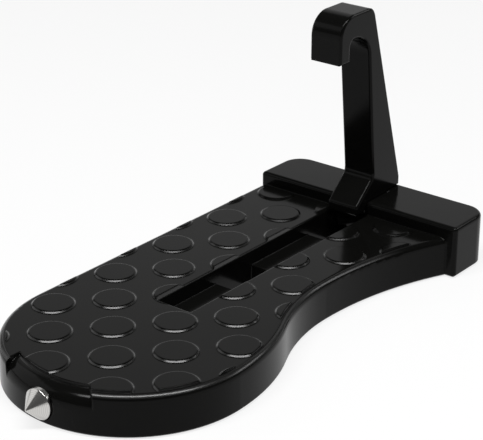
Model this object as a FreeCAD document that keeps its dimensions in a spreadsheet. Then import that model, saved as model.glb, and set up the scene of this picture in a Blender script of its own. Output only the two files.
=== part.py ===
"""Folding step that hooks on a car's door latch.

A cast foot plate carries a folding hook arm on a hinge pin. The plate's front end holds a
steel glass-breaking point, and its rear crossbar rests on the car body with a rubber pad.

The frame has +Z up and +X across the plate. The origin is on the underside, straight below
the hinge axis and on the slot's centre line, and the tread runs from it towards -Y.
"""
import FreeCAD
import Part
import Sketcher

import math
import os

from FreeCAD import Placement, Rotation, Vector

# Driving dimensions, in millimetres and degrees
SIZES = {
    # Foot plate, seen from above
    "plate_left": 36.5,
    "plate_right": 38.5,
    "plate_height": 12.4,
    "front_centre": 111.1,
    "bulge_radius": 66.0,
    "waist_x": 25.2,
    "waist_back": 54.0,
    "neck_radius": 110.0,
    "rim_radius": 2.0,
    "foot_bevel": 0.6,
    # Raised dots of the tread
    "dot_radius": 6.5,
    "dot_top_radius": 5.7,
    "dot_height": 0.6,
    "dot_pitch_x": 23.0,
    "dot_pitch_y": 13.05,
    "dot_offset_x": -4.46,
    "dot_offset_y": 8.65,
    "tread_margin": 2.2,
    # Rear crossbar
    "bar_left": 36.6,
    "bar_right": 39.5,
    "bar_front": 6.0,
    "bar_depth": 19.6,
    "bar_rise": 4.3,
    "bar_corner": 7.0,
    "bar_edge": 1.2,
    # Slot that takes the folded arm
    "slot_front": 93.2,
    "slot_depth": 5.0,
    "slot_edge": 0.4,
    "slot_side_gap": 0.4,
    "nose_window_ahead": 5.8,
    "nose_window_behind": 11.2,
    "toe_window_ahead": 7.8,
    # Step cut away in front, above the breaking point
    "scoop_left": 14.4,
    "scoop_right": 10.1,
    "scoop_flare": 13.3,
    "scoop_depth": 4.8,
    "scoop_lip": 0.8,
    # Cored underside
    "wall_thick": 4.0,
    "deck_thick": 4.4,
    "slot_wall": 3.0,
    "rib_thick": 3.0,
    "rib_spacing": 29.0,
    "core_back": 12.0,
    # Hinge, with the angle that the arm folds through
    "fold_angle": 72.0,
    "hinge_height": 9.0,
    "pin_radius": 2.5,
    "pin_bite": 10.0,
    "pin_sink": 0.6,
    "pin_clearance": 0.05,
    "pin_bevel": 0.5,
    "knuckle_radius": 6.0,
    "knuckle_gap": 0.5,
    # Hook arm, seen from the side
    "arm_width": 11.4,
    "arm_top": 80.8,
    "arm_back_top": 4.5,
    "arm_back_corner": 3.2,
    "heel_inset": 0.6,
    "heel_height": 3.2,
    "heel_gap": 0.2,
    "heel_corner": 2.0,
    "arm_front_top": 6.2,
    "arm_front_foot": 2.2,
    "knee_height": 24.0,
    "knee_radius": 2.8,
    "toe_reach": 11.0,
    "toe_thick": 2.8,
    "toe_rise": 4.4,
    "toe_corner": 1.4,
    "hook_reach": 21.9,
    "hook_radius": 7.0,
    "hook_web": 7.7,
    "hook_tip_thick": 5.0,
    "hook_tip_drop": 6.9,
    "throat_radius": 8.0,
    "throat_corner": 2.4,
    "arm_edge": 0.5,
    # Glass-breaking point
    "point_height": 5.8,
    "point_radius": 4.5,
    "point_cone": 4.4,
    "point_collar": 1.4,
    "point_seat": 0.9,
    "point_seat_gap": 0.25,
    "point_tip_flat": 0.25,
    "stud_radius": 3.0,
    "stud_length": 9.0,
    "stud_hole_extra": 1.5,
    # Rubber pad on the back of the crossbar
    "pad_length": 58.0,
    "pad_height": 10.5,
    "pad_thick": 2.8,
    "pad_recess": 1.2,
    "pad_corner": 2.5,
    "pad_edge": 0.6,
}

DOC = FreeCAD.newDocument("door_latch_step")
SIDE_VIEW = Placement(Vector(), Rotation(Vector(1, 1, 1), 120))
PLAN_VIEW = Placement()
UPRIGHT_VIEW = Placement(Vector(), Rotation(Vector(1, 0, 0), 90))
FULL_TURN = 360
OVERCUT = 2.0
ROOT_OVERLAP = 0.5
NEAR = 1e-3


class Term:
    """A number together with the spreadsheet expression that gives it."""

    def __init__(self, value, text):
        self.value = value
        self.text = text

    def join(self, other, sign, value, swapped=False):
        text = other.text if isinstance(other, Term) else repr(float(other))
        first, second = (text, self.text) if swapped else (self.text, text)
        return Term(value, "(%s %s %s)" % (first, sign, second))

    def __add__(self, other):
        return self.join(other, "+", self.value + float(other))

    def __radd__(self, other):
        return self.join(other, "+", float(other) + self.value, True)

    def __sub__(self, other):
        return self.join(other, "-", self.value - float(other))

    def __rsub__(self, other):
        return self.join(other, "-", float(other) - self.value, True)

    def __mul__(self, other):
        return self.join(other, "*", self.value * float(other))

    def __rmul__(self, other):
        return self.join(other, "*", float(other) * self.value, True)

    def __truediv__(self, other):
        return self.join(other, "/", self.value / float(other))

    def __neg__(self):
        return Term(-self.value, "(0 - %s)" % self.text)

    def __float__(self):
        return float(self.value)

    def root(self):
        return Term(math.sqrt(self.value), "sqrt(%s)" % self.text)

    def sine(self):
        return Term(math.sin(math.radians(self.value)), "sin(%s * 1 deg)" % self.text)

    def cosine(self):
        return Term(math.cos(math.radians(self.value)), "cos(%s * 1 deg)" % self.text)


class Sizes:
    """The spreadsheet's cells as terms, by alias."""

    def __init__(self, values):
        sheet = DOC.addObject("Spreadsheet::Sheet", "Sizes")
        for row, (alias, value) in enumerate(values.items(), 1):
            sheet.set("A%d" % row, alias)
            sheet.set("B%d" % row, str(value))
            sheet.setAlias("B%d" % row, alias)
            setattr(self, alias, Term(value, "Sizes.%s" % alias))


S = Sizes(SIZES)
ZERO = Term(0.0, "0.0")
BELOW = ZERO - OVERCUT
ABOVE = ZERO + OVERCUT
DOC.recompute()


def bind(obj, **terms):
    """Ties properties of an object to the spreadsheet."""
    for name, term in terms.items():
        obj.setExpression(name, term.text)


def put(obj, x, y, z):
    """Ties an object's position to the spreadsheet."""
    for axis, term in zip("xyz", (x, y, z)):
        obj.setExpression("Placement.Base." + axis, term.text)


def block(name, low, high):
    """A box between two corners."""
    obj = DOC.addObject("Part::Box", name)
    bind(obj, Length=high[0] - low[0], Width=high[1] - low[1], Height=high[2] - low[2])
    put(obj, *low)
    return obj


def rod(name, radius, start, length, direction):
    """A cylinder from a start point along a direction."""
    obj = DOC.addObject("Part::Cylinder", name)
    obj.Placement = Placement(Vector(), Rotation(Vector(0, 0, 1), direction))
    bind(obj, Radius=radius, Height=length)
    put(obj, *start)
    return obj


def arc_through(start, end, radius, turn):
    """The short arc between two points; turn is 1 for anticlockwise and -1 for clockwise."""
    chord = end - start
    half = chord.Length / 2
    rise = math.sqrt(max(radius * radius - half * half, 0))
    across = Vector(-chord.y, chord.x, 0).normalize()
    centre = start + chord * 0.5 + across * rise * turn
    first, last = (start, end) if turn > 0 else (end, start)
    angles = [math.atan2(p.y - centre.y, p.x - centre.x) for p in (first, last)]
    circle = Part.Circle(centre, Vector(0, 0, 1), radius)
    return Part.ArcOfCircle(circle, angles[0], angles[1])


def outline(name, view, corners):
    """A closed sketch. Each corner is (u, v) before a line, or (u, v, radius, turn) before an arc."""
    sketch = DOC.addObject("Sketcher::SketchObject", name)
    sketch.Placement = view
    points = [Vector(float(c[0]), float(c[1]), 0) for c in corners]
    ends = []
    for index, corner in enumerate(corners):
        start, end = points[index], points[(index + 1) % len(points)]
        if len(corner) == 2:
            sketch.addGeometry(Part.LineSegment(start, end))
            ends.append((1, 2))
        else:
            radius, turn = corner[2], corner[3]
            sketch.addGeometry(arc_through(start, end, float(radius), turn))
            ends.append((1, 2) if turn > 0 else (2, 1))
    for index, corner in enumerate(corners):
        following = (index + 1) % len(corners)
        sketch.addConstraint(Sketcher.Constraint(
            "Coincident", index, ends[index][1], following, ends[following][0]))
        for kind, term in (("DistanceX", corner[0]), ("DistanceY", corner[1])):
            place = sketch.addConstraint(Sketcher.Constraint(
                kind, -1, 1, index, ends[index][0], float(term)))
            sketch.setExpression("Constraints[%d]" % place, term.text)
        if len(corner) > 2:
            place = sketch.addConstraint(Sketcher.Constraint("Radius", index, float(corner[2])))
            sketch.setExpression("Constraints[%d]" % place, corner[2].text)
    return sketch


def extrude(name, base, direction, length, from_middle=False):
    """A solid pushed out of a closed sketch."""
    obj = DOC.addObject("Part::Extrusion", name)
    obj.Base = base
    obj.DirMode = "Custom"
    obj.Dir = direction
    obj.Solid = True
    obj.Symmetric = from_middle
    bind(obj, LengthFwd=length)
    return obj


def inset(name, sketch, margin):
    """The sketch's outline drawn in by a margin."""
    obj = DOC.addObject("Part::Offset2D", name)
    obj.Source = sketch
    obj.Join = "Intersection"
    bind(obj, Value=-margin)
    return obj


def combine(kind, name, shapes):
    """A Part::MultiFuse or Part::MultiCommon of several shapes."""
    obj = DOC.addObject(kind, name)
    obj.Shapes = shapes
    return obj


def cut(name, base, tool):
    obj = DOC.addObject("Part::Cut", name)
    obj.Base = base
    obj.Tool = tool
    return obj


def soften_edges(kind, name, base, picks):
    """A Part::Fillet or Part::Chamfer; picks pairs a test on an edge's box with a size."""
    DOC.recompute()
    obj = DOC.addObject(kind, name)
    obj.Base = base
    chosen = []
    for number, edge in enumerate(base.Shape.Edges, 1):
        for test, size in picks:
            if test(edge.BoundBox):
                chosen.append((number, float(size), float(size)))
                break
    obj.Edges = chosen
    return obj


def level(box, height):
    """True for an edge that lies flat at a height."""
    return abs(box.ZMin - float(height)) < NEAR and abs(box.ZMax - float(height)) < NEAR


# Shared places, worked out from the driving dimensions
FRONT_RADIUS = (S.plate_left + S.plate_right) / 2
FRONT_X = (S.plate_right - S.plate_left) / 2
FRONT_END = S.front_centre + FRONT_RADIUS
ARM_SIDE = S.arm_width / 2
SLOT_SIDE = ARM_SIDE + S.slot_side_gap
SLOT_FLOOR = S.plate_height - S.slot_depth
BAR_TOP = S.plate_height + S.bar_rise
BAR_BACK = S.bar_depth - S.bar_front
HEEL_FOOT = BAR_TOP + S.heel_gap
THROAT_TOP = S.arm_top - S.hook_web
HOOK_TIP = THROAT_TOP - S.hook_tip_drop
FOLDED_TIP = S.hook_reach * S.fold_angle.cosine() + (HOOK_TIP - S.hinge_height) * S.fold_angle.sine()
TOE_TOP = S.toe_rise + S.toe_thick
TOE_SWING = (S.toe_reach * S.toe_reach + TOE_TOP * TOE_TOP).root()
POINT_SEAT_Y = S.point_seat - FRONT_END
PIN_END = SLOT_SIDE + S.pin_bite


def plate_outline():
    """The foot's outline: a round front, a straight left side and a waist on the right."""
    rear = ROOT_OVERLAP - S.bar_front
    bulge_x = S.plate_right - S.bulge_radius
    across = S.waist_x - bulge_x
    along = S.front_centre - S.waist_back
    waist_radius = (across * across + along * along - S.bulge_radius * S.bulge_radius) / (
        2 * (S.bulge_radius - across))
    share = S.bulge_radius / (S.bulge_radius + waist_radius)
    neck_run = rear + S.waist_back
    neck_x = S.waist_x + S.neck_radius - (
        S.neck_radius * S.neck_radius - neck_run * neck_run).root()
    return outline("plate_outline", PLAN_VIEW, [
        (-S.plate_left, rear),
        (-S.plate_left, -S.front_centre, FRONT_RADIUS, 1),
        (FRONT_X, -FRONT_END, FRONT_RADIUS, 1),
        (S.plate_right, -S.front_centre, S.bulge_radius, 1),
        (bulge_x + (across + waist_radius) * share, along * share - S.front_centre, waist_radius, -1),
        (S.waist_x, -S.waist_back, S.neck_radius, -1),
        (neck_x, rear),
    ])


def foot_plate(plan):
    """The plate's blank, with a round rim and a small bevel underneath."""
    slab = extrude("plate_slab", plan, Vector(0, 0, 1), S.plate_height)
    rear = float(ROOT_OVERLAP - S.bar_front)

    def on_rim(height):
        return lambda box: level(box, height) and box.YMin < rear - NEAR

    rimmed = soften_edges("Part::Fillet", "plate_rim", slab, [(on_rim(S.plate_height), S.rim_radius)])
    return soften_edges("Part::Chamfer", "plate_blank", rimmed, [(on_rim(ZERO), S.foot_bevel)])


def tread_dots(plan):
    """Raised dots in staggered rows, trimmed to the tread inside the rim."""
    pitch_x, pitch_y = float(S.dot_pitch_x), float(S.dot_pitch_y)
    rows = int(float(FRONT_END) / pitch_y) + 1
    columns = int((float(S.plate_left) + float(S.plate_right)) / pitch_x) + 1
    flare = (S.dot_radius - S.dot_top_radius) * ROOT_OVERLAP / S.dot_height
    dots = []
    for row in range(rows):
        for column in range(-columns, columns + 1):
            x = S.dot_offset_x + S.dot_pitch_x * (column + row % 2 / 2)
            y = S.dot_pitch_y * row + S.dot_offset_y - FRONT_END
            if not -float(S.plate_left + S.dot_radius) < float(x) < float(S.plate_right + S.dot_radius):
                continue
            dot = DOC.addObject("Part::Cone", "dot_%d_%d" % (row, column + columns))
            bind(dot, Radius1=S.dot_radius + flare, Radius2=S.dot_top_radius,
                 Height=S.dot_height + ROOT_OVERLAP)
            put(dot, x, y, S.plate_height - ROOT_OVERLAP)
            dots.append(dot)
    area = extrude("tread_area", inset("tread_outline", plan, S.tread_margin), Vector(0, 0, 1),
                   S.plate_height + S.dot_height)
    grown = combine("Part::MultiFuse", "all_dots", dots)
    return combine("Part::MultiCommon", "tread_dots", [grown, area])


def crossbar():
    """The rear bar that rests on the car body, with round rear corners."""
    front, back = -S.bar_front, BAR_BACK
    plan = outline("crossbar_outline", PLAN_VIEW, [
        (-S.bar_left, front),
        (S.bar_right, front),
        (S.bar_right, back - S.bar_corner, S.bar_corner, 1),
        (S.bar_right - S.bar_corner, back),
        (S.bar_corner - S.bar_left, back, S.bar_corner, 1),
        (-S.bar_left, back - S.bar_corner),
    ])
    bar = extrude("crossbar_slab", plan, Vector(0, 0, 1), BAR_TOP)

    def upright_front(box):
        return box.YMax < float(front) + NEAR and box.ZLength > NEAR

    rounded = soften_edges("Part::Fillet", "crossbar_rim", bar, [
        (lambda box: level(box, BAR_TOP), S.bar_edge),
        (upright_front, S.bar_edge),
    ])
    return soften_edges("Part::Chamfer", "crossbar_blank", rounded, [
        (lambda box: level(box, ZERO), S.foot_bevel)])


def slot_cuts():
    """The arm's slot with its bevelled mouth, the two windows in its floor and the hinge notch."""
    over = S.plate_height + OVERCUT
    slot = block("slot_cut", (-SLOT_SIDE, -S.slot_front, SLOT_FLOOR), (SLOT_SIDE, -S.bar_front, over))
    nose = block("nose_window", (-SLOT_SIDE, -FOLDED_TIP - S.nose_window_ahead, BELOW),
                 (SLOT_SIDE, S.nose_window_behind - FOLDED_TIP, over))
    toe = block("toe_window", (-SLOT_SIDE, -TOE_SWING - S.toe_window_ahead, BELOW),
                (SLOT_SIDE, -S.bar_front, over))
    mouth = DOC.addObject("Part::Wedge", "slot_mouth")
    mouth.Placement = UPRIGHT_VIEW
    spread = S.slot_edge + S.dot_height
    bind(mouth, Xmin=-SLOT_SIDE, Xmax=SLOT_SIDE, Zmin=S.bar_front, Zmax=S.slot_front,
         Ymin=S.plate_height - S.slot_edge, Ymax=S.plate_height + S.dot_height,
         X2min=-SLOT_SIDE - spread, X2max=SLOT_SIDE + spread,
         Z2min=S.bar_front, Z2max=S.slot_front + spread)
    reach = S.knuckle_radius + S.knuckle_gap
    barrel = rod("knuckle_pocket", reach, (-SLOT_SIDE, ZERO, S.hinge_height), 2 * SLOT_SIDE,
                 Vector(1, 0, 0))
    notch_top = block("notch_top", (-SLOT_SIDE, -S.bar_front - OVERCUT, S.hinge_height),
                      (SLOT_SIDE, reach, BAR_TOP + OVERCUT))
    notch_front = block("notch_front", (-SLOT_SIDE, -S.bar_front - OVERCUT, S.hinge_height - reach),
                        (SLOT_SIDE, ZERO, BAR_TOP + OVERCUT))
    return [slot, nose, toe, mouth, barrel, notch_top, notch_front]


def front_scoop():
    """The tread is stepped back above the breaking point, down to a rounded nose."""
    inner = FRONT_RADIUS - S.scoop_depth
    shelf = S.plate_height - S.scoop_lip
    over = S.plate_height + OVERCUT
    section = outline("scoop_section", SIDE_VIEW, [
        (-FRONT_RADIUS - OVERCUT, over),
        (-FRONT_RADIUS - OVERCUT, shelf - S.scoop_depth),
        (-FRONT_RADIUS, shelf - S.scoop_depth, S.scoop_depth, -1),
        (-inner, shelf),
        (-inner, over),
    ])
    ring = DOC.addObject("Part::Revolution", "scoop_ring")
    ring.Source = section
    ring.Axis = Vector(0, 0, 1)
    ring.Angle = FULL_TURN
    ring.Solid = True
    put(ring, FRONT_X, -S.front_centre, ZERO)
    back = 2 * S.scoop_depth - FRONT_END
    front = -FRONT_END - OVERCUT
    span = outline("scoop_plan", PLAN_VIEW, [
        (-S.scoop_left, back),
        (-S.scoop_left, front),
        (S.scoop_right + S.scoop_flare, front),
        (S.scoop_right, back),
    ])
    reach = extrude("scoop_span", span, Vector(0, 0, 1), over)
    return combine("Part::MultiCommon", "front_scoop", [ring, reach])


def underside_cores(plan):
    """Hollows cast into the underside, between the walls, the slot's sides and cross ribs."""
    ceiling = S.plate_height - S.deck_thick
    hollow = extrude("core_area", inset("core_outline", plan, S.wall_thick), Vector(0, 0, 1), ceiling)
    keep_side = SLOT_SIDE + S.slot_wall
    keeps = [
        block("keep_slot", (-keep_side, -S.slot_front - S.slot_wall, BELOW),
              (keep_side, ABOVE, S.plate_height)),
        block("keep_rear", (-S.bar_left, -S.core_back, BELOW),
              (S.bar_right, ABOVE, S.plate_height)),
        block("keep_point", (FRONT_X - S.rib_thick / 2, -FRONT_END, BELOW),
              (FRONT_X + S.rib_thick / 2, -S.slot_front, S.plate_height)),
        rod("keep_boss", S.point_radius + S.wall_thick, (FRONT_X, -FRONT_END, S.point_height),
            S.stud_length + S.wall_thick, Vector(0, 1, 0)),
    ]
    count = int((float(FRONT_END) - float(S.core_back)) / float(S.rib_spacing))
    for number in range(1, count + 1):
        back = S.core_back + S.rib_spacing * number
        keeps.append(block("keep_rib_%d" % number,
                           (-S.plate_left, -back, BELOW),
                           (S.plate_right, S.rib_thick - back, S.plate_height)))
    return cut("underside_cores", hollow, combine("Part::MultiFuse", "core_keeps", keeps))


def holes_and_seats():
    """The hinge pin's hole, the breaking point's seat and hole, and the pad's recess."""
    pin_hole = rod("pin_hole", S.pin_radius, (-S.bar_left - OVERCUT, ZERO, S.hinge_height),
                   PIN_END + S.bar_left + OVERCUT, Vector(1, 0, 0))
    seat = rod("point_seat_cut", S.point_radius + S.point_seat_gap,
               (FRONT_X, POINT_SEAT_Y - S.point_seat - OVERCUT, S.point_height),
               S.point_seat + OVERCUT, Vector(0, 1, 0))
    stud_hole = rod("stud_hole", S.stud_radius, (FRONT_X, POINT_SEAT_Y - S.point_seat, S.point_height),
                    S.point_seat + S.stud_length + S.stud_hole_extra, Vector(0, 1, 0))
    recess = extrude("pad_recess_cut", pad_outline("pad_recess_outline"), Vector(0, 1, 0),
                     S.pad_recess + OVERCUT)
    put(recess, ZERO, BAR_BACK - S.pad_recess, ZERO)
    return [pin_hole, seat, stud_hole, recess]


def pad_outline(name):
    """The pad's rounded rectangle, upright on the crossbar's back."""
    middle_x = (S.bar_right - S.bar_left) / 2
    middle_z = BAR_TOP / 2
    left, right = middle_x - S.pad_length / 2, middle_x + S.pad_length / 2
    low, high = middle_z - S.pad_height / 2, middle_z + S.pad_height / 2
    corner = S.pad_corner
    return outline(name, UPRIGHT_VIEW, [
        (left + corner, low),
        (right - corner, low, corner, 1),
        (right, low + corner),
        (right, high - corner, corner, 1),
        (right - corner, high),
        (left + corner, high, corner, 1),
        (left, high - corner),
        (left, low + corner, corner, 1),
    ])


def pedal_casting():
    plan = plate_outline()
    blank = combine("Part::MultiFuse", "pedal_blank", [foot_plate(plan), crossbar(), tread_dots(plan)])
    tools = slot_cuts() + [front_scoop(), underside_cores(plan)] + holes_and_seats()
    return cut("pedal_casting", blank, combine("Part::MultiFuse", "pedal_cuts", tools))


def hook_arm():
    """The arm in side view: hook, throat, straight front, toe, hinge knuckle and heel."""
    throat_x = S.arm_front_top + S.throat_radius
    tip_inner = S.hook_reach - S.hook_tip_thick
    toe_foot = S.hinge_height + S.toe_rise
    toe_top = S.hinge_height + TOE_TOP
    heel_back = BAR_BACK - S.heel_inset
    profile = outline("arm_profile", SIDE_VIEW, [
        (-S.arm_back_top, S.arm_top),
        (S.hook_radius - S.hook_reach, S.arm_top, S.hook_radius, 1),
        (-S.hook_reach, S.arm_top - S.hook_radius),
        (-S.hook_reach, HOOK_TIP),
        (-tip_inner, HOOK_TIP),
        (-tip_inner, THROAT_TOP - S.throat_corner, S.throat_corner, -1),
        (S.throat_corner - tip_inner, THROAT_TOP),
        (-throat_x, THROAT_TOP, S.throat_radius, -1),
        (-S.arm_front_top, THROAT_TOP - S.throat_radius),
        (-S.arm_front_foot, S.knee_height),
        (-S.toe_reach, toe_top),
        (-S.toe_reach, toe_foot),
        (-S.knuckle_radius, toe_foot),
        (-S.knuckle_radius, S.hinge_height, S.knuckle_radius, 1),
        (ZERO, S.hinge_height - S.knuckle_radius, S.knuckle_radius, 1),
        (S.knuckle_radius, S.hinge_height),
        (S.knuckle_radius, HEEL_FOOT),
        (heel_back, HEEL_FOOT),
        (heel_back, HEEL_FOOT + S.heel_height),
    ])
    slab = extrude("arm_slab", profile, Vector(1, 0, 0), S.arm_width, True)
    DOC.recompute()

    def corner_at(y, z):
        return lambda box: (box.XLength > NEAR and abs(box.YMin - float(y)) < NEAR
                            and abs(box.ZMin - float(z)) < NEAR)

    soft = soften_edges("Part::Fillet", "arm_soft_corners", slab, [
        (corner_at(-S.arm_back_top, S.arm_top), S.arm_back_corner),
        (corner_at(-S.toe_reach, toe_top), S.toe_corner),
        (corner_at(-S.toe_reach, toe_foot), S.arm_edge),
        (corner_at(-S.arm_front_foot, S.knee_height), S.knee_radius),
        (corner_at(heel_back, HEEL_FOOT + S.heel_height), S.heel_corner),
    ])

    def on_side(box):
        return box.XLength < NEAR and box.ZMin > float(toe_foot) - NEAR

    eased = soften_edges("Part::Chamfer", "arm_eased", soft, [(on_side, S.arm_edge)])
    bore = rod("arm_bore", S.pin_radius + S.pin_clearance,
               (-ARM_SIDE - OVERCUT, ZERO, S.hinge_height),
               S.arm_width + 2 * OVERCUT, Vector(1, 0, 0))
    return cut("hook_arm", eased, bore)


def pivot_pin():
    """A plain pin pressed into the casting from its left end, with bevelled ends."""
    start = S.pin_sink - S.bar_left
    length = PIN_END - S.pin_sink - start
    shaft = rod("pin_shaft", S.pin_radius, (start, ZERO, S.hinge_height), length,
                Vector(1, 0, 0))
    DOC.recompute()
    return soften_edges("Part::Chamfer", "pivot_pin", shaft, [
        (lambda box: box.XLength < NEAR, S.pin_bevel)])


def hammer_point():
    """The breaking point: a cone on a collar, with the stud that screws into the plate."""
    section = outline("point_section", PLAN_VIEW, [
        (ZERO, S.stud_length),
        (ZERO, -S.point_collar - S.point_cone),
        (S.point_tip_flat, -S.point_collar - S.point_cone),
        (S.point_radius, -S.point_collar),
        (S.point_radius, ZERO),
        (S.stud_radius, ZERO),
        (S.stud_radius, S.stud_length),
    ])
    point = DOC.addObject("Part::Revolution", "hammer_point")
    point.Source = section
    point.Axis = Vector(0, 1, 0)
    point.Angle = FULL_TURN
    point.Solid = True
    put(point, FRONT_X, POINT_SEAT_Y, S.point_height)
    return point


def rear_pad():
    """The rubber pad that sits in the recess and stands a little proud of it."""
    slab = extrude("pad_slab", pad_outline("pad_plan"), Vector(0, 1, 0), S.pad_thick)
    put(slab, ZERO, BAR_BACK - S.pad_recess, ZERO)
    DOC.recompute()
    face = float(BAR_BACK - S.pad_recess + S.pad_thick)
    return soften_edges("Part::Chamfer", "rear_pad", slab, [
        (lambda box: box.YMin > face - NEAR, S.pad_edge)])


def check_and_write(sub_parts):
    DOC.recompute()
    for obj in DOC.Objects:
        faults = [state for state in obj.State if state in ("Invalid", "Error")]
        if faults:
            raise RuntimeError("%s is %s" % (obj.Name, faults))
    os.makedirs("parts", exist_ok=True)
    for obj in sub_parts:
        shape = obj.Shape
        if shape.isNull() or not shape.isValid() or len(shape.Solids) != 1:
            raise RuntimeError("%s has no single valid solid" % obj.Label)
        shape.exportStep(os.path.join("parts", obj.Label + ".step"))
        print("%-14s %9.1f mm3  %s" % (obj.Label, shape.Volume, shape.BoundBox))


check_and_write([pedal_casting(), hook_arm(), pivot_pin(), hammer_point(), rear_pad()])
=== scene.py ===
"""Dresses the folding door latch step: coated castings, bright steel, rubber, and a small studio."""
import math

import bpy
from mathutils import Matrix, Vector

bl_info = {
    "name": "Door Latch Step",
    "version": (1, 0, 0),
    "blender": (4, 5, 0),
    "location": "3D View > Sidebar > Latch Step",
    "description": "Finishes the cast foot plate, hook arm, steel point, pin and pad, and sets the stage",
    "category": "Object",
}

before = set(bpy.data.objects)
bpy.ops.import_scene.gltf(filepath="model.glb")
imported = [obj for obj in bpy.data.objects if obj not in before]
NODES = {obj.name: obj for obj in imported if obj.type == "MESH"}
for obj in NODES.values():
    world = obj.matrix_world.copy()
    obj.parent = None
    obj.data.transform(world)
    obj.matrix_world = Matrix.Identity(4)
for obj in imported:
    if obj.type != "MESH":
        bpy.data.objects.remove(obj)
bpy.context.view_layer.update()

# How far a finish darkens where its texture is deepest
DEEPER = 0.6

# Fineness of the coat's clouds and ripple, and how far its blur runs over a cloud
COAT_CLOUDS = 60.0
COAT_RIPPLES = 2600.0
COAT_RIPPLE_DETAIL = 3.0
COAT_BLUR_RANGE = 0.06

# Where shoes rub the coat. A band is an axis, its middle and half its extent: the heights of the
# dots' slopes and of the rounded rim are rubbed, but not the slot's edges. The fade is an axis and
# two places, because the rubbing ends towards the crossbar
RUBBED_DOTS = ("Z", 0.01266, 0.00015)
RUBBED_RIM = ("Z", 0.01195, 0.0004)
SLOT_WIDTH = ("X", 0.0, 0.0076)
SLOT_LENGTH = ("Y", -0.0465, 0.0475)
RUBBED_FADE = ("Y", -0.034, -0.018)

# Fineness and waviness of the turned steel's rings, and what they do to its finish
STEEL_RINGS = 900.0
STEEL_RING_WAVE = 0.4
STEEL_RING_SHADE = 0.5
STEEL_RING_BLUR = 0.08
STEEL_RING_DEPTH = 0.000002
STEEL_EDGE = 0.0002

# Fineness of the rubber's grain and clouds
RUBBER_GRAINS = 3200.0
RUBBER_GRAIN_DEPTH = 0.00003
RUBBER_CLOUDS = 90.0
RUBBER_BLUR_RANGE = 0.1
RUBBER_EDGE = 0.0003

WHITE = (1.0, 1.0, 1.0, 1.0)
EDGE_SAMPLES = 16

# A Mix node's sockets for colours, which share their names with those for numbers
MIX_FACTOR = 0
MIX_FIRST = 6
MIX_SECOND = 7
MIX_RESULT = 2

# The floor lies a hair below the part, so that the two never share a face
FLOOR_DROP = 0.0002
FLOOR_CORNERS = 96

# The photograph's frame and the camera that was fitted to it
PHOTO_WIDTH = 483
FOCAL_PIXELS = 1661.24
SENSOR_WIDTH = 36.0
CAMERA_PLACE = (0.2789, -0.4113, 0.225)
CAMERA_AIM = (-0.0227, -0.034, 0.0124)

# The overhead strip lies across the line of sight, so that it draws thin lines along the edges, most
# of all in front. The tread mirrors the panel behind it, the edges that face right mirror the box at
# the right, and the box at the left lights the point and the front wall
STRIP_PLACE = (0.105, -0.2, 0.75)
STRIP_AIM = (0.105, -0.2, 0.0)
STRIP_SIZE = (0.85, 0.14)
STRIP_TURN = math.radians(38.5)
PANEL_PLACE = (-0.75, 0.94, 0.62)
PANEL_AIM = (0.0, -0.05, 0.02)
PANEL_SIZE = (1.7, 1.0)
RIGHT_PLACE = (0.5, 0.75, 0.66)
RIGHT_AIM = (0.0, -0.05, 0.02)
RIGHT_SIZE = (0.5, 0.2)
LEFT_PLACE = (-0.66, -0.33, 0.42)
LEFT_AIM = (0.0, -0.1, 0.02)
LEFT_SIZE = (0.75, 0.55)


class Signal:
    """A shader socket that takes part in arithmetic: each operation adds one Math node."""

    def __init__(self, sheet, socket):
        self.sheet = sheet
        self.socket = socket

    def joined(self, operation, first, second):
        return self.sheet.add("ShaderNodeMath", {"operation": operation}, {0: first, 1: second})

    def __add__(self, other):
        return self.joined("ADD", self, other)

    __radd__ = __add__

    def __sub__(self, other):
        return self.joined("SUBTRACT", self, other)

    def __rsub__(self, other):
        return self.joined("SUBTRACT", other, self)

    def __mul__(self, other):
        return self.joined("MULTIPLY", self, other)

    __rmul__ = __mul__


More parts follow.
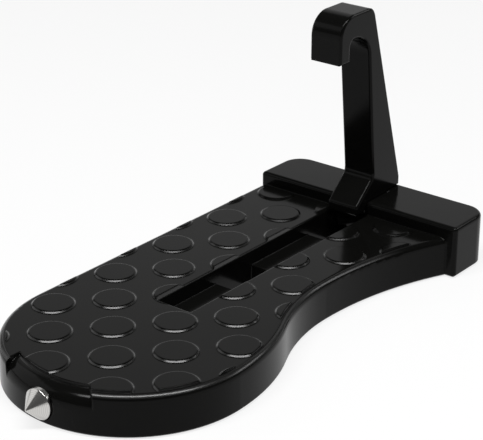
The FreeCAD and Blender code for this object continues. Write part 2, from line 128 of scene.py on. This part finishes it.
class Sheet:
    """A node tree that is filled in from code, one node for each call."""

    def __init__(self, owner):
        owner.use_nodes = True
        self.tree = owner.node_tree
        self.tree.nodes.clear()

    def add(self, kind, settings=None, inputs=None, output=0):
        node = self.tree.nodes.new(kind)
        for name, value in (settings or {}).items():
            setattr(node, name, value)
        for name, value in (inputs or {}).items():
            if isinstance(value, Signal):
                self.tree.links.new(value.socket, node.inputs[name])
            else:
                node.inputs[name].default_value = value
        return Signal(self, node.outputs[output]) if node.outputs else None

    def places(self):
        return self.add("ShaderNodeTexCoord", output="Object")

    def noise(self, scale, detail=2.0):
        return self.add("ShaderNodeTexNoise", {}, {
            "Vector": self.places(), "Scale": scale, "Detail": detail})

    def along(self, axis):
        return self.add("ShaderNodeSeparateXYZ", {}, {"Vector": self.places()}, axis)

    def band(self, axis, middle, half):
        """1 inside a band along one axis of the piece, and 0 elsewhere."""
        return self.add("ShaderNodeMath", {"operation": "COMPARE"}, {
            0: self.along(axis), 1: middle, 2: half})

    def fade(self, axis, start, end):
        """Falls from 1 to 0 between two places along one axis of the piece."""
        return self.add("ShaderNodeMapRange", {"interpolation_type": "SMOOTHSTEP"}, {
            "Value": self.along(axis), "From Min": start, "From Max": end, "To Min": 1.0, "To Max": 0.0})

    def blend(self, colour, share, factor):
        """Runs from a colour down to a share of it, as the factor goes from 0 to 1."""
        deep = (*(level * share for level in colour[:3]), 1.0)
        sockets = {MIX_FACTOR: factor, MIX_FIRST: tuple(colour), MIX_SECOND: deep}
        return self.add("ShaderNodeMix", {"data_type": "RGBA"}, sockets, MIX_RESULT)

    def soft_edges(self, radius):
        return self.add("ShaderNodeBevel", {"samples": EDGE_SAMPLES}, {"Radius": radius})

    def bump(self, height, distance, normal):
        return self.add("ShaderNodeBump", {}, {
            "Strength": 1.0, "Distance": distance, "Height": height, "Normal": normal})

    def seen(self):
        """1 where a camera, a mirror or a pane looks at the surface, and 0 for scattered light."""
        camera = self.add("ShaderNodeLightPath", output="Is Camera Ray")
        mirror = self.add("ShaderNodeLightPath", output="Is Glossy Ray")
        pane = self.add("ShaderNodeLightPath", output="Is Transmission Ray")
        return camera + mirror + pane

    def shade(self, sockets):
        shader = self.add("ShaderNodeBsdfPrincipled", {}, sockets)
        self.add("ShaderNodeOutputMaterial", {}, {"Surface": shader})


class CoatSettings(bpy.types.PropertyGroup):
    colour: bpy.props.FloatVectorProperty(
        name="Colour", description="Black of the coating", subtype="COLOR",
        size=4, default=(0.0036, 0.0036, 0.0033, 1.0))
    roughness: bpy.props.FloatProperty(
        name="Roughness", description="Blur of the coating's reflections", default=0.14)
    gloss: bpy.props.FloatProperty(
        name="Gloss", description="Strength of the coating's reflections", default=0.08)
    ripple: bpy.props.FloatProperty(
        name="Ripple", description="Depth of the sprayed coat's fine ripple",
        subtype="DISTANCE", unit="LENGTH", precision=6, default=0.000002)
    polish: bpy.props.FloatProperty(
        name="Polish", description="Shine of the edges that shoes rub", default=0.6)
    polish_blur: bpy.props.FloatProperty(
        name="Polish Blur", description="Blur of the rubbed edges' reflections", default=0.3)
    edge: bpy.props.FloatProperty(
        name="Edge", description="Radius that the coat gives to a sharp edge",
        subtype="DISTANCE", unit="LENGTH", precision=5, default=0.0007)


class SteelSettings(bpy.types.PropertyGroup):
    colour: bpy.props.FloatVectorProperty(
        name="Colour", description="Colour of the bright steel", subtype="COLOR",
        size=4, default=(0.62, 0.61, 0.59, 1.0))
    roughness: bpy.props.FloatProperty(
        name="Roughness", description="Blur of the steel's reflections", default=0.14)


class RubberSettings(bpy.types.PropertyGroup):
    colour: bpy.props.FloatVectorProperty(
        name="Colour", description="Colour of the rubber", subtype="COLOR",
        size=4, default=(0.018, 0.018, 0.018, 1.0))
    roughness: bpy.props.FloatProperty(
        name="Roughness", description="Dullness of the rubber", default=0.75)


class StageSettings(bpy.types.PropertyGroup):
    floor_colour: bpy.props.FloatVectorProperty(
        name="Floor", description="Colour of the floor", subtype="COLOR",
        size=4, default=(0.72, 0.72, 0.72, 1.0))
    backdrop: bpy.props.FloatProperty(
        name="Backdrop", description="Share of plain white in the floor as it is seen", default=0.8)
    floor_size: bpy.props.FloatProperty(
        name="Floor Size", description="Width of the round floor", unit="LENGTH", default=12.0)
    wall_height: bpy.props.FloatProperty(
        name="Wall Height", description="Height of the wall round the floor", unit="LENGTH", default=0.9)
    room: bpy.props.FloatProperty(
        name="Room", description="Light that the room gives from all sides", default=0.1)
    top_power: bpy.props.FloatProperty(
        name="Top Light", description="Power of the softbox overhead", unit="POWER", default=8.0)
    back_power: bpy.props.FloatProperty(
        name="Back Light", description="Power of the panel behind", unit="POWER", default=2.9)
    right_power: bpy.props.FloatProperty(
        name="Right Light", description="Power of the softbox at the right", unit="POWER", default=1.5)
    left_power: bpy.props.FloatProperty(
        name="Left Light", description="Power of the softbox at the left", unit="POWER", default=1.2)


def coated_black():
    """Satin black coating: a fine ripple, slightly uneven gloss, soft edges, and a shine where rubbed."""
    coat = bpy.context.scene.latch_step_coat
    material = bpy.data.materials.new("satin_black_coat")
    sheet = Sheet(material)
    cloud = sheet.noise(COAT_CLOUDS)
    grain = sheet.noise(COAT_RIPPLES, COAT_RIPPLE_DETAIL)
    edges = sheet.band(*RUBBED_DOTS) + sheet.band(*RUBBED_RIM)
    slot = sheet.band(*SLOT_WIDTH) * sheet.band(*SLOT_LENGTH)
    rubbed = edges * sheet.fade(*RUBBED_FADE) * (1.0 - slot)
    soft = sheet.soft_edges(coat.edge)
    sheet.shade({
        "Base Color": sheet.blend(coat.colour, DEEPER, cloud),
        "Roughness": coat.roughness - 0.5 * COAT_BLUR_RANGE + COAT_BLUR_RANGE * cloud,
        "Specular IOR Level": coat.gloss,
        "Coat Weight": coat.polish * rubbed,
        "Coat Roughness": coat.polish_blur,
        "Normal": sheet.bump(grain, coat.ripple, soft),
    })
    return material


def bright_steel(name, ring_axis):
    """Turned steel, with the tool's fine rings round an axis."""
    steel = bpy.context.scene.latch_step_steel
    material = bpy.data.materials.new(name)
    sheet = Sheet(material)
    rings = sheet.add("ShaderNodeTexWave", {"bands_direction": ring_axis}, {
        "Vector": sheet.places(), "Scale": STEEL_RINGS, "Distortion": STEEL_RING_WAVE})
    soft = sheet.soft_edges(STEEL_EDGE)
    sheet.shade({
        "Base Color": sheet.blend(steel.colour, DEEPER, STEEL_RING_SHADE * rings),
        "Metallic": 1.0,
        "Roughness": steel.roughness + STEEL_RING_BLUR * rings,
        "Normal": sheet.bump(rings, STEEL_RING_DEPTH, soft),
    })
    return material


def dull_rubber():
    """Matt rubber with a fine moulded grain."""
    rubber = bpy.context.scene.latch_step_rubber
    material = bpy.data.materials.new("pad_rubber")
    sheet = Sheet(material)
    grain = sheet.noise(RUBBER_GRAINS)
    cloud = sheet.noise(RUBBER_CLOUDS)
    soft = sheet.soft_edges(RUBBER_EDGE)
    sheet.shade({
        "Base Color": sheet.blend(rubber.colour, DEEPER, cloud),
        "Roughness": rubber.roughness + RUBBER_BLUR_RANGE * cloud,
        "Normal": sheet.bump(grain, RUBBER_GRAIN_DEPTH, soft),
    })
    return material


def dress(node, material):
    """Gives a node its finish in place of the plain one that it came with."""
    obj = NODES[node]
    obj.data.materials.clear()
    obj.data.materials.append(material)


class LATCHSTEP_OT_castings(bpy.types.Operator):
    """Coat the foot plate and the hook arm"""
    bl_idname = "latchstep.castings"
    bl_label = "Coat Castings"

    def execute(self, context):
        coat = coated_black()
        dress("pedal_casting", coat)
        dress("hook_arm", coat)
        return {"FINISHED"}


class LATCHSTEP_OT_steel(bpy.types.Operator):
    """Finish the breaking point and the hinge pin"""
    bl_idname = "latchstep.steel"
    bl_label = "Finish Steel"

    def execute(self, context):
        dress("hammer_point", bright_steel("turned_point", "Y"))
        dress("pivot_pin", bright_steel("ground_pin", "X"))
        return {"FINISHED"}


class LATCHSTEP_OT_pad(bpy.types.Operator):
    """Finish the rubber pad behind the crossbar"""
    bl_idname = "latchstep.pad"
    bl_label = "Finish Pad"

    def execute(self, context):
        dress("rear_pad", dull_rubber())
        return {"FINISHED"}


class LATCHSTEP_OT_stage(bpy.types.Operator):
    """Set the floor, the lights and the camera"""
    bl_idname = "latchstep.stage"
    bl_label = "Set Stage"

    def execute(self, context):
        stage = context.scene.latch_step_stage
        lay_floor(stage)
        light_room(context.scene, stage)
        hang_softbox("top_strip", STRIP_PLACE, STRIP_AIM, STRIP_SIZE, stage.top_power, STRIP_TURN)
        hang_softbox("back_panel", PANEL_PLACE, PANEL_AIM, PANEL_SIZE, stage.back_power)
        hang_softbox("right_softbox", RIGHT_PLACE, RIGHT_AIM, RIGHT_SIZE, stage.right_power)
        hang_softbox("left_softbox", LEFT_PLACE, LEFT_AIM, LEFT_SIZE, stage.left_power)
        place_camera(context.scene)
        context.scene.view_settings.view_transform = "Standard"
        return {"FINISHED"}


def lay_floor(stage):
    """Lays a round floor just under the part, with a low wall round it that hides the horizon."""
    radius = 0.5 * stage.floor_size
    pale = pale_paper(stage)
    bpy.ops.mesh.primitive_circle_add(
        vertices=FLOOR_CORNERS, radius=radius, fill_type="NGON", location=(0.0, 0.0, -FLOOR_DROP))
    spread(bpy.context.active_object, "floor", pale)
    bpy.ops.mesh.primitive_cylinder_add(
        vertices=FLOOR_CORNERS, radius=radius, depth=stage.wall_height, end_fill_type="NOTHING",
        location=(0.0, 0.0, 0.5 * stage.wall_height - FLOOR_DROP))
    spread(bpy.context.active_object, "wall", pale)


def pale_paper(stage):
    """White paper as it is seen, which still takes the part's shadow."""
    material = bpy.data.materials.new("pale_paper")
    sheet = Sheet(material)
    lit = sheet.add("ShaderNodeBsdfDiffuse", {}, {"Color": tuple(stage.floor_colour)})
    white = sheet.add("ShaderNodeEmission", {}, {"Color": WHITE, "Strength": 1.0})
    shown = sheet.add("ShaderNodeMixShader", {}, {0: stage.backdrop * sheet.seen(), 1: lit, 2: white})
    sheet.add("ShaderNodeOutputMaterial", {}, {"Surface": shown})
    return material


def spread(piece, name, paper):
    piece.name = name
    piece.data.materials.append(paper)


def light_room(scene, stage):
    world = bpy.data.worlds.new("studio")
    scene.world = world
    sheet = Sheet(world)
    light = sheet.add("ShaderNodeBackground", {}, {"Color": WHITE, "Strength": stage.room})
    sheet.add("ShaderNodeOutputWorld", {}, {"Surface": light})


def aim(obj, place, target):
    obj.location = place
    obj.rotation_euler = (Vector(target) - Vector(place)).to_track_quat("-Z", "Y").to_euler()


def hang_softbox(name, place, target, size, power, turn=0.0):
    data = bpy.data.lights.new(name, "AREA")
    data.shape = "RECTANGLE"
    data.size, data.size_y = size
    data.energy = power
    lamp = bpy.data.objects.new(name, data)
    bpy.context.scene.collection.objects.link(lamp)
    aim(lamp, place, target)
    lamp.rotation_euler.rotate_axis("Z", turn)


def place_camera(scene):
    data = bpy.data.cameras.new("photo_camera")
    data.sensor_fit = "HORIZONTAL"
    data.sensor_width = SENSOR_WIDTH
    data.lens = FOCAL_PIXELS / PHOTO_WIDTH * SENSOR_WIDTH
    camera = bpy.data.objects.new("photo_camera", data)
    scene.collection.objects.link(camera)
    aim(camera, CAMERA_PLACE, CAMERA_AIM)
    scene.camera = camera


class LATCHSTEP_PT_panel(bpy.types.Panel):
    """Steps that dress the model, in order"""
    bl_label = "Latch Step"
    bl_idname = "LATCHSTEP_PT_panel"
    bl_space_type = "VIEW_3D"
    bl_region_type = "UI"
    bl_category = "Latch Step"

    def draw(self, context):
        for operator in OPERATORS:
            self.layout.operator(operator.bl_idname)
        for group in SETTINGS:
            settings = getattr(context.scene, group)
            for name in settings.bl_rna.properties.keys():
                if name not in ("rna_type", "name"):
                    self.layout.prop(settings, name)


OPERATORS = (
    LATCHSTEP_OT_castings,
    LATCHSTEP_OT_steel,
    LATCHSTEP_OT_pad,
    LATCHSTEP_OT_stage,
)
SETTINGS = {
    "latch_step_coat": CoatSettings,
    "latch_step_steel": SteelSettings,
    "latch_step_rubber": RubberSettings,
    "latch_step_stage": StageSettings,
}


def register():
    for kind in (*SETTINGS.values(), *OPERATORS, LATCHSTEP_PT_panel):
        bpy.utils.register_class(kind)
    for name, kind in SETTINGS.items():
        setattr(bpy.types.Scene, name, bpy.props.PointerProperty(type=kind))


def unregister():
    for name in SETTINGS:
        delattr(bpy.types.Scene, name)
    for kind in reversed((*SETTINGS.values(), *OPERATORS, LATCHSTEP_PT_panel)):
        bpy.utils.unregister_class(kind)


def main():
    register()
    bpy.ops.object.select_all(action="DESELECT")
    bpy.ops.latchstep.castings()
    bpy.ops.latchstep.steel()
    bpy.ops.latchstep.pad()
    bpy.ops.latchstep.stage()


if __name__ == "__main__":
    main()
